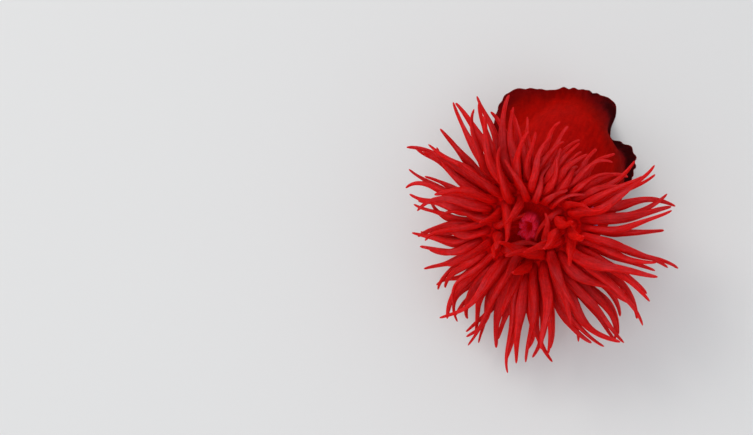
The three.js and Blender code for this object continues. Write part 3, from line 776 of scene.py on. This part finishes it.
# The crown between the roots is painted with the hollows' bounce light.
crown = put(
    roll_point(all_angle, all_phi) + lift[:, None] * faces_out,
    streak_place(all_phi, STREAKS["collar"] + (all_angle - ROLL["outer"]) / STREAKS["crown_degrees"]),
    in_hollow=smooth(root_gap / ROOT_SOFT) * inside_edges, relief=SOFT_RELIEF,
    up_column=1, on_disc=1 - fade(all_angle, OUTER_FACE, -OUTER_FACE),
)
map_share = MAP_CROWN["filled"] / ROLL_OUT
crown_map = round_map(MAP_CROWN, map_share * flat_radius(all_angle), all_phi)
faces.extend(crown[triangles].tolist())
map_places.append(crown_map[triangles].reshape(-1, 2))
outer_edge = crown[:AROUND]
inner_edge = crown[AROUND:2 * AROUND]
roots = crown[root_loops]


def widths(rings):
    """The mean width of each strip between rings of points."""
    return np.linalg.norm(np.diff(np.concatenate(points)[rings], axis=0), axis=2).mean(1)


wall = np.stack(wall_rings + [outer_edge])
wall_widths = widths(wall)
wall_climb = np.concatenate([[0], np.cumsum(wall_widths)]) / wall_widths.sum()
wall_x = np.linspace(MAP_WALL["left"], MAP_WALL["right"], AROUND + 1)
wall_y = mix(MAP_WALL["low"], MAP_WALL["high"], wall_climb)
strip(wall, joined(wall_x, wall_y[:, None]))

# The sunken disc, ridged towards the tentacles, and the lips in folds round the slit of the mouth.
DISC_LINE = (
    (5.80, 0.05), (5.40, -0.70), (5.05, -1.30), (4.65, -1.70), (4.20, -1.85), (3.80, -1.70), (3.46, -1.25),
    (3.22, -0.60), (3.05, 0.15), (2.92, 0.90), (2.78, 1.55), (2.54, 2.15), (2.22, 2.52), (1.90, 2.60),
    (1.60, 2.38), (1.34, 1.90), (1.12, 1.15), (0.92, 0.20), (0.68, -0.75), (0.38, -1.40),
)
DISC_RIM = 6
MOUTH_LONG = 0.24  # how much longer than wide the lips are
LIP_FOLDS = ((0.12, 7, 0.5), (0.07, 12, 2.0))
FOLD_HEIGHT = 0.42
RIDGES = {"count": 24, "height": 0.11}
OVAL_FROM = (4.9, -2)  # radii at which things begin, and how far on they are complete
LIPS_FROM = (3.2, -0.6)
RIDGES_FROM = (2.9, 1.2)
FOLDS_FROM = (0.8, 0.8)
THROAT_FROM = (1.2, -0.5)
MOAT_FROM = (0.4, -1.6)  # the same for the moat's height
MOAT_BOUNCE_LIGHT = 0.55
DISC_STREAKS = 0.8
THROAT_HEIGHT = -1.65
disc_rings = [inner_edge]
for rho, h in DISC_LINE:
    oval = 1 - MOUTH_LONG * fade(rho, *OVAL_FROM) * np.cos(2 * BODY_PHI)
    on_lips = fade(rho, *LIPS_FROM)
    folds = sum(deep * np.sin(many * BODY_PHI + start) for deep, many, start in LIP_FOLDS)
    ridge = RIDGES["height"] * np.cos(RIDGES["count"] * BODY_PHI) * fade(rho, *RIDGES_FROM)
    fold_rise = on_lips * fade(rho, *FOLDS_FROM) * FOLD_HEIGHT * folds / LIP_FOLDS[0][0]
    # The throat and the moat take the hollows' painted bounce light.
    hollow = fade(rho, *THROAT_FROM) + MOAT_BOUNCE_LIGHT * fade(h, *MOAT_FROM)
    disc_rings.append(put(
        disc_point(rho * oval * (1 + on_lips * folds), h + ridge + fold_rise, BODY_PHI),
        streak_place(BODY_PHI, STREAKS["disc"] + (DISC_RIM - rho) / STREAKS["disc_radius"]),
        on_lips=on_lips, in_hollow=min(1, float(hollow)), streaks=DISC_STREAKS, relief=SOFT_RELIEF,
        up_column=1, on_disc=1,
    ))
throat = put(disc_point(0, THROAT_HEIGHT, 0)[None], np.zeros(3), in_hollow=1.0, up_column=1, on_disc=1)[0]
disc = np.stack(disc_rings)
disc_widths = widths(disc)
to_middle = np.concatenate([[0], np.cumsum(disc_widths)]) / (disc_widths.sum() + DISC_LINE[-1][0])
disc_share = map_share * ROLL_IN * (1 - to_middle)
disc_places = np.stack([round_map(MAP_CROWN, share, turned) for share in disc_share])
strip(disc, disc_places)
close(disc[-1], throat, disc_places[-1], round_map(MAP_CROWN, MAP_POLE["throat"], turned_between))

# Tentacles: a smooth line through each one's settled points, and rings of flesh along it. They swell and
# thin a little on the way, are never quite round, and end in a fine blunt tip.
TUBE_SHARES = np.concatenate([[0.03, 0.06, 0.095], np.linspace(0.135, 0.94, 19), [0.965, 0.982, 0.994]])
TIP_ROUND = 0.955  # share of the length at which the tip starts to close
SLENDER = ((0, 0.35, 0.70, 1), (1, 1, 0.80, 0.98))  # shares of the length, and of the solid's thickness
SWELL = {"deep": 0.05, "waves": 2.6}
FLATTENED = 0.20
CREASES = {"deep": 0.14, "many": 3, "turn": 1.5, "full_at": 0.2}
TUBE_RELIEF = 0.5
ROOT_HUG = 0.10  # share of the length over which the rings turn from the roll's slope to straight across
ROOT_MARK = 0.14  # share of the length over which the disc's colour turns into the tentacle's


def line_at(lines, share):
    """Points at a share of smooth curves through the lines' points, and the curves' way there."""
    way = np.empty_like(lines)
    way[:, 1:-1] = (lines[:, 2:] - lines[:, :-2]) / 2
    way[:, 0] = lines[:, 1] - lines[:, 0]
    way[:, -1] = lines[:, -1] - lines[:, -2]
    k = min(int(share * STEPS), STEPS - 1)
    t = share * STEPS - k
    p, q, m, n = lines[:, k], lines[:, k + 1], way[:, k], way[:, k + 1]
    place = p * (2 * t**3 - 3 * t**2 + 1) + m * (t**3 - 2 * t**2 + t)
    place += q * (3 * t**2 - 2 * t**3) + n * (t**3 - t**2)
    heads = p * (6 * t**2 - 6 * t) + m * (3 * t**2 - 4 * t + 1)
    heads = heads + q * (6 * t - 6 * t**2) + n * (3 * t**2 - 2 * t)
    return place, unit(heads)


around = math.tau * np.arange(TUBE_SIDES) / TUBE_SIDES
names = [number * NAME_STEP + i for number, row in enumerate(ROWS) for i in range(row["count"])]
tones = np.array([swing(name, "tone") for name in names])
uneven = 1 + FLATTENED * np.array([swing(name, "flat") for name in names])
streak_start = STREAKS["apart"] * np.arange(len(names))[:, None]
sideways = unit(roll_point(root_angle[:, 0], root_phi[:, 0]) - lines[:, 0])
root_rings = np.concatenate(points)[roots] - lines[:, :1]
tube_rings = [roots]
for share in TUBE_SHARES:
    middle, way = line_at(lines, share)
    sideways = unit(sideways - way * (sideways * way).sum(1, keepdims=True))
    other = np.cross(way, sideways)
    radius = thickness(tentacles, [share])[:, 0] * np.interp(share, *SLENDER)
    radius *= 1 + SWELL["deep"] * np.sin(math.tau * (SWELL["waves"] * share + tentacles["phase"]))
    closing = max(0, share - TIP_ROUND) / (1 - TIP_ROUND)
    radius *= math.sqrt(1 - closing ** 2)
    winding = math.tau * tentacles["phase"][:, None] + CREASES["turn"] * share
    crease_depth = CREASES["deep"] * smooth(share / CREASES["full_at"])
    creased = 1 + crease_depth * np.cos(CREASES["many"] * around + winding)
    wide = ((radius * uneven)[:, None] * creased * np.cos(around))[..., None] * sideways[:, None]
    high = ((radius / uneven)[:, None] * creased * np.sin(around))[..., None] * other[:, None]
    grown = smooth(share / ROOT_MARK)
    tube_rings.append(put(
        middle[:, None] + mix(root_rings, wide + high, smooth(share / ROOT_HUG)),
        joined(np.cos(around), np.sin(around), STREAKS["tentacle"] * share + streak_start),
        along=share, on_tentacle=grown, streaks=grown, relief=TUBE_RELIEF * (1 - share),
        tone=tones[:, None] * grown, up_column=1, on_disc=1,
    ))
tip_place = line_at(lines, 1)[0]
tips = put(tip_place, np.zeros(3), along=1.0, on_tentacle=1.0, tone=tones, up_column=1, on_disc=1)
tubes = np.stack(tube_rings, 1)
map_columns = MAP_TENTACLES["columns"]
cell_wide = 1 / map_columns
cell_high = (MAP_TENTACLES["high"] - MAP_TENTACLES["low"]) / (len(tubes) / map_columns)
gap = MAP_TENTACLES["gap"]
tube_map_y = np.concatenate([[0], TUBE_SHARES]) * (cell_high - 2 * gap)
tube_map_x = np.linspace(gap, cell_wide - gap, TUBE_SIDES + 1)
for number, tube in enumerate(tubes):
    corner_x = number % map_columns * cell_wide
    corner_y = MAP_TENTACLES["low"] + number // map_columns * cell_high + gap
    places = joined(corner_x + tube_map_x, corner_y + tube_map_y[:, None])
    strip(tube, places)
    tip_x = corner_x + (tube_map_x[1:] + tube_map_x[:-1]) / 2
    close(tube[-1], tips[number], places[-1], joined(tip_x, corner_y + cell_high - 2 * gap))

skin_mesh = bpy.data.meshes.new("skin")
skin_mesh.from_pydata((np.concatenate(points) * MM).tolist(), [], faces)
skin_mesh.polygons.foreach_set("use_smooth", [True] * len(skin_mesh.polygons))
flat_map = skin_mesh.uv_layers.new(name="OFBake")
flat_map.data.foreach_set("uv", np.concatenate(map_places).reshape(-1))
for name in MARKS:
    layer = skin_mesh.attributes.new(name, "FLOAT", "POINT")
    layer.data.foreach_set("value", np.concatenate(marks[name]).astype(float))
grain_layer = skin_mesh.attributes.new("grain", "FLOAT_VECTOR", "POINT")
grain_layer.data.foreach_set("vector", np.concatenate(grain).reshape(-1))
skin_mesh.update()
smooth_skin = new_object("smooth_skin", skin_mesh)

# The flesh is deep red all through, a little brighter on the tentacles and magenta on the lips. It is
# darkest at the edge of the foot, and that dark reaches further up on the side turned from the lamps as
# painted shade. The hollows, and the tentacles' roots more, are painted a brighter red as painted bounce
# light, and the tentacles' upper sides carry a painted pinkish sheen. Fine paler streaks run up the column
# and along every tentacle.


def grey(level):
    """A grey of a given brightness."""
    return level, level, level, 1


DISC_RED = (0.50, 0.004, 0.005, 1)
TENTACLE_RED = (0.61, 0.0046, 0.0030, 1)
TENTACLE_PAINTED_SHEEN = (0.58, 0.038, 0.045, 1)  # painted sheen: a paler pink where the flesh faces up, as if lit from above
LIP_PINK = (1.0, 0.022, 0.064, 1)
# painted bounce light: the hollows are a brighter, deeper red that stands in for red light thrown between
# the tentacles
HOLLOW_BOUNCE_LIGHT = (0.90, 0.0032, 0.0032, 1)
COLUMN_COLOURS = (  # from the edge of the foot up to the collar
    (0.0, (0.040, 0.0022, 0.0028, 1)),
    (0.045, (0.16, 0.0026, 0.0028, 1)),
    (0.15, (0.24, 0.0022, 0.0010, 1)),
    (0.34, (0.38, 0.0020, 0.0006, 1)),
    (0.95, (0.46, 0.004, 0.003, 1)),
)
TENTACLE_COLOURS_AND_ROOT_LIGHT = (  # from the root to the tip; the bright red at the root is painted bounce light, the darker tip is the flesh's own colour
    (0.0, (0.95, 0.0052, 0.0046, 1)),
    (0.40, TENTACLE_RED),
    (0.80, TENTACLE_RED),
    (1.0, (0.54, 0.0042, 0.0034, 1)),
)
PAINTED_SHEEN_UPWARD = ((0.30, grey(0)), (1.0, grey(0.65)))  # the painted sheen shows where the flesh faces up, in patches
PAINTED_SHEEN_PATCHES = ((0.38, grey(0.35)), (0.66, grey(1)))
STREAK_SHADES = ((0.30, (0.72, 0.70, 0.70, 1)), (0.70, (1.16, 1.25, 1.25, 1)))
SPOT_SHADES = ((0.30, (0.88, 0.86, 0.86, 1)), (0.72, (1.10, 1.14, 1.14, 1)))
TONE_SHADES = ((0.0, (0.88, 0.86, 0.88, 1)), (1.0, (1.10, 1.14, 1.16, 1)))  # one tone for each tentacle
ROUGHNESS = ((0.3, grey(0.36)), (0.7, grey(0.48)))
CLOUDS = {"scale": 260, "detail": 3.0}
SPOTS = {"scale": 1300, "detail": 3.0, "roughness": 0.6}
STREAKY = {"scale": 2.4, "detail": 4.0, "roughness": 0.65}
CLOUDY_EDGE = 0.14  # how far the clouds shift the column's colours
WET = {"all": 0.03, "more": 0.12}  # a coat of water, thicker on tentacles and lips


def mark(tree, name):
    """A mark of the mesh's points."""
    return node(tree, "ShaderNodeAttribute", attribute_name=name).outputs["Fac"]


def ramp(tree, value, stops):
    """A colour for a value from 0 to 1, from stops of a place and a colour."""
    made = node(tree, "ShaderNodeValToRGB", {"Fac": value})
    elements = made.color_ramp.elements
    while len(elements) < len(stops):
        elements.new(0.5)
    for element, (place, colour) in zip(elements, stops):
        element.position = place
        element.color = colour
    return made.outputs["Color"]


def blend(tree, share, a, b, kind="MIX"):
    """Colour a with a share of colour b."""
    return node(tree, "ShaderNodeMix", {0: share, 6: a, 7: b}, data_type="RGBA", blend_type=kind).outputs[2]


def shaded(tree, colour, value, stops):
    """A colour multiplied by a ramp's."""
    return blend(tree, 1.0, colour, ramp(tree, value, stops), "MULTIPLY")


def compute(tree, operation, *values):
    """The result of one operation on numbers."""
    return node(tree, "ShaderNodeMath", dict(enumerate(values)), operation=operation).outputs[0]


def noise(tree, place, scale, detail=2.0, roughness=0.5):
    """Soft random brightness in space."""
    inputs = {"Vector": place, "Scale": scale, "Detail": detail, "Roughness": roughness}
    return node(tree, "ShaderNodeTexNoise", inputs).outputs["Fac"]


skin_material, tree = new_material("wet red flesh")
in_space = node(tree, "ShaderNodeTexCoord").outputs["Object"]
in_grain = node(tree, "ShaderNodeAttribute", attribute_name="grain").outputs["Vector"]
cloudy = noise(tree, in_space, **CLOUDS)
mottled = noise(tree, in_space, **SPOTS)
streaked = noise(tree, in_grain, **STREAKY)

wander = compute(tree, "MULTIPLY_ADD", cloudy, CLOUDY_EDGE, mark(tree, "up_column"))
up_column = compute(tree, "SUBTRACT", wander, CLOUDY_EDGE / 2)
# Painted sheen: the tentacles turn paler and pinker where their faces look up, in cloudy patches.
normal = node(tree, "ShaderNodeNewGeometry").outputs["Normal"]
up = node(tree, "ShaderNodeSeparateXYZ", {"Vector": normal}).outputs["Z"]
painted_sheen = compute(tree, "MULTIPLY", ramp(tree, up, PAINTED_SHEEN_UPWARD), ramp(tree, cloudy, PAINTED_SHEEN_PATCHES))
along_tentacle = ramp(tree, mark(tree, "along"), TENTACLE_COLOURS_AND_ROOT_LIGHT)
colour = ramp(tree, up_column, COLUMN_COLOURS)
for name, over in {
    "on_disc": DISC_RED,
    "on_tentacle": blend(tree, painted_sheen, along_tentacle, TENTACLE_PAINTED_SHEEN),
    "on_lips": LIP_PINK,
    "in_hollow": HOLLOW_BOUNCE_LIGHT,
}.items():
    colour = blend(tree, mark(tree, name), colour, over)
colour = blend(tree, mark(tree, "streaks"), colour, shaded(tree, colour, streaked, STREAK_SHADES))
colour = shaded(tree, colour, mottled, SPOT_SHADES)
tone_share = compute(tree, "MULTIPLY_ADD", mark(tree, "tone"), 0.5, 0.5)
colour = shaded(tree, colour, tone_share, TONE_SHADES)

bumps = compute(tree, "MULTIPLY_ADD", mottled, 0.5, streaked)
bump = node(tree, "ShaderNodeBump", {"Height": bumps, "Strength": 0.35, "Distance": 0.25 * MM})
wetter = compute(tree, "ADD", mark(tree, "on_tentacle"), mark(tree, "on_lips"))
surface(tree, {
    "Base Color": colour,
    "Roughness": ramp(tree, streaked, ROUGHNESS),
    "Normal": bump.outputs["Normal"],
    "Subsurface Weight": 0.80,
    "Subsurface Radius": (1.0, 0.10, 0.08),
    "Subsurface Scale": 2.0 * MM,
    "Specular IOR Level": 0.0,
    "Coat Weight": compute(tree, "MULTIPLY_ADD", wetter, WET["more"], WET["all"]),
    "Coat Roughness": 0.28,
    "Coat IOR": 1.25,
})

# The living surface is never quite even: shallow dimples and swellings are raised on the smooth skin,
# none on the sole that clings to the floor.
RELIEF = {"Depth": 0.16 * MM, "Fineness": 420.0, "Seed": 7.0}


def modifier_tree(name, values):
    """A tree for a Geometry Nodes modifier, with its values' keys and its inputs."""
    made = bpy.data.node_groups.new(name, "GeometryNodeTree")
    made.is_modifier = True
    for way in ("INPUT", "OUTPUT"):
        made.interface.new_socket("Geometry", in_out=way, socket_type="NodeSocketGeometry")
    keys = {}
    for key, value in values.items():
        kind = "NodeSocketInt" if isinstance(value, int) else "NodeSocketFloat"
        keys[key] = made.interface.new_socket(key, in_out="INPUT", socket_type=kind).identifier
    return made, keys, made.nodes.new("NodeGroupInput").outputs


def coat(tree, geometry, material):
    """Ends a modifier's tree with its geometry made real and given a material."""
    real = node(tree, "GeometryNodeRealizeInstances", {"Geometry": geometry}).outputs["Geometry"]
    coated = node(tree, "GeometryNodeSetMaterial", {"Geometry": real, "Material": material})
    node(tree, "NodeGroupOutput", {"Geometry": coated.outputs["Geometry"]})


relief_tree, relief_keys, given = modifier_tree("skin relief", RELIEF)
dimples = node(relief_tree, "ShaderNodeTexNoise", {
    "Vector": node(relief_tree, "GeometryNodeInputPosition").outputs[0],
    "W": given["Seed"],
    "Scale": given["Fineness"],
    "Detail": 2.0,
}, noise_dimensions="4D").outputs["Fac"]
relief_mark = node(relief_tree, "GeometryNodeInputNamedAttribute", {"Name": "relief"}, data_type="FLOAT")
rise = compute(relief_tree, "SUBTRACT", dimples, 0.5)
for factor in (2.0, relief_mark.outputs["Attribute"], given["Depth"]):
    rise = compute(relief_tree, "MULTIPLY", rise, factor)
outward = node(relief_tree, "GeometryNodeInputNormal").outputs[0]
offset = node(relief_tree, "ShaderNodeVectorMath", {0: outward, "Scale": rise}, operation="SCALE")
raised = node(relief_tree, "GeometryNodeSetPosition", {
    "Geometry": given["Geometry"],
    "Offset": offset.outputs[0],
})
coat(relief_tree, raised.outputs["Geometry"], skin_material)


def grown_mesh(base, tree, keys, values, name):
    """The plain mesh that a tree of Geometry Nodes makes from a base object, as a new object."""
    modifier = base.modifiers.new(tree.name, "NODES")
    modifier.node_group = tree
    for key, value in values.items():
        modifier[keys[key]] = value
    depsgraph = bpy.context.evaluated_depsgraph_get()
    mesh = bpy.data.meshes.new_from_object(base.evaluated_get(depsgraph), depsgraph=depsgraph)
    base.modifiers.remove(modifier)
    bpy.data.objects.remove(base)
    return new_object(name, mesh)


skin = grown_mesh(smooth_skin, relief_tree, relief_keys, RELIEF, "skin")
TENTACLE_NODES = [f"tentacles_{row}_{n:02d}" for row in ("inner", "outer") for n in range(1, 25)]
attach(skin, "root")
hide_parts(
    "pedal_disc", "column_lower", "column_middle", "column_upper", "collar", "oral_disc", "mouth",
)
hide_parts(*TENTACLE_NODES)

# ---------- beads ----------
# Twenty-four swollen beads of stinging flesh stand in the groove between collar and tentacles. They are
# bright blue, smooth and nearly round, and grow on the collar's lip.
BEAD_COUNT = 24
BEAD_RING = {"rho": 14.2, "h": -3.3}
BEAD_BLUES = ((0.35, (0.045, 0.16, 0.62, 1)), (0.68, (0.16, 0.38, 0.80, 1)))
BEAD_CLOUDS = {"scale": 900, "detail": 3.0}
BEAD = {"Radius": 0.80 * MM, "Smallest": 0.84, "Largest": 1.04, "Seed": 3}
BALL = {"Segments": 16, "Rings": 10}
SIZE_INPUTS = {"Min": "Smallest", "Max": "Largest", "Seed": "Seed"}

bead_phi = math.tau * np.arange(BEAD_COUNT) / BEAD_COUNT
bead_places = disc_point(BEAD_RING["rho"], BEAD_RING["h"], bead_phi) * MM
spots = bpy.data.meshes.new("bead spots")
spots.from_pydata(bead_places.tolist(), [], [])
bead_spots = new_object("bead spots", spots)

bead_material, tree = new_material("blue bead")
in_space = node(tree, "ShaderNodeTexCoord").outputs["Object"]
surface(tree, {
    "Base Color": ramp(tree, noise(tree, in_space, **BEAD_CLOUDS), BEAD_BLUES),
    "Roughness": 0.30,
    "Subsurface Weight": 0.25,
    "Subsurface Radius": (0.3, 0.5, 1.0),
    "Subsurface Scale": 0.6 * MM,
    "Coat Weight": 0.3,
    "Coat Roughness": 0.15,
})

bead_tree, bead_keys, given = modifier_tree("ring of beads", BEAD)
ball = node(bead_tree, "GeometryNodeMeshUVSphere", {"Radius": given["Radius"], **BALL})
rounded = node(bead_tree, "GeometryNodeSetShadeSmooth", {"Geometry": ball.outputs["Mesh"]})
sizes = node(bead_tree, "FunctionNodeRandomValue", data_type="FLOAT")
for socket in sizes.inputs:
    if socket.enabled and socket.name in SIZE_INPUTS:
        bead_tree.links.new(given[SIZE_INPUTS[socket.name]], socket)
placed = node(bead_tree, "GeometryNodeInstanceOnPoints", {
    "Points": given["Geometry"],
    "Instance": rounded.outputs["Geometry"],
    "Scale": next(socket for socket in sizes.outputs if socket.enabled),
})
coat(bead_tree, placed.outputs["Instances"], bead_material)

beads = grown_mesh(bead_spots, bead_tree, bead_keys, BEAD, "beads")
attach(beads, "root")
